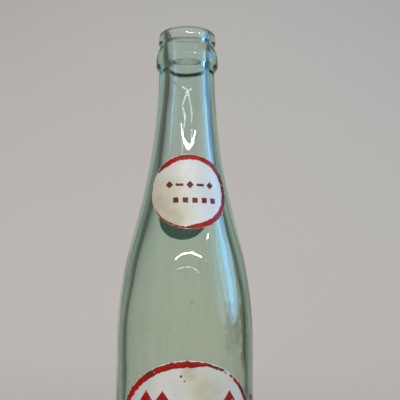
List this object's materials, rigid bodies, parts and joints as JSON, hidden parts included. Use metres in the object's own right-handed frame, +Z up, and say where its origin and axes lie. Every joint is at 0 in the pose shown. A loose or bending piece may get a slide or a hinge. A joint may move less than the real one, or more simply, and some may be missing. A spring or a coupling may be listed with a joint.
{
  "type": "glass bottle",
  "caption": "Long-necked returnable glass drink bottle with a crown finish, a hollow-curved shoulder, a round label on the neck front and rear, and a large round label on the body.",
  "frame": {"origin": "centre of the base, on the surface that the bottle stands on", "axes": "+Z up the bottle's axis to the mouth; the body label faces -Y"},
  "size_m": [0.061, 0.0613, 0.3135],
  "materials": {
    "green_glass": "clear pale green soda-lime glass, thick-walled, lightly scuffed",
    "white_enamel": "fired off-white enamel, semi-gloss, worn and stained",
    "red_enamel": "fired red enamel, semi-gloss, chipped at its edges"
  },
  "bodies": {
    "root": {"glass_bottle": "green_glass", "front_neck_field": "white_enamel", "front_neck_ring": "red_enamel", "front_neck_print": "red_enamel", "rear_neck_field": "white_enamel", "rear_neck_ring": "red_enamel", "rear_neck_print": "red_enamel", "body_label_field": "white_enamel", "body_label_ring": "red_enamel", "body_label_marks": "red_enamel"}
  },
  "joints": []
}
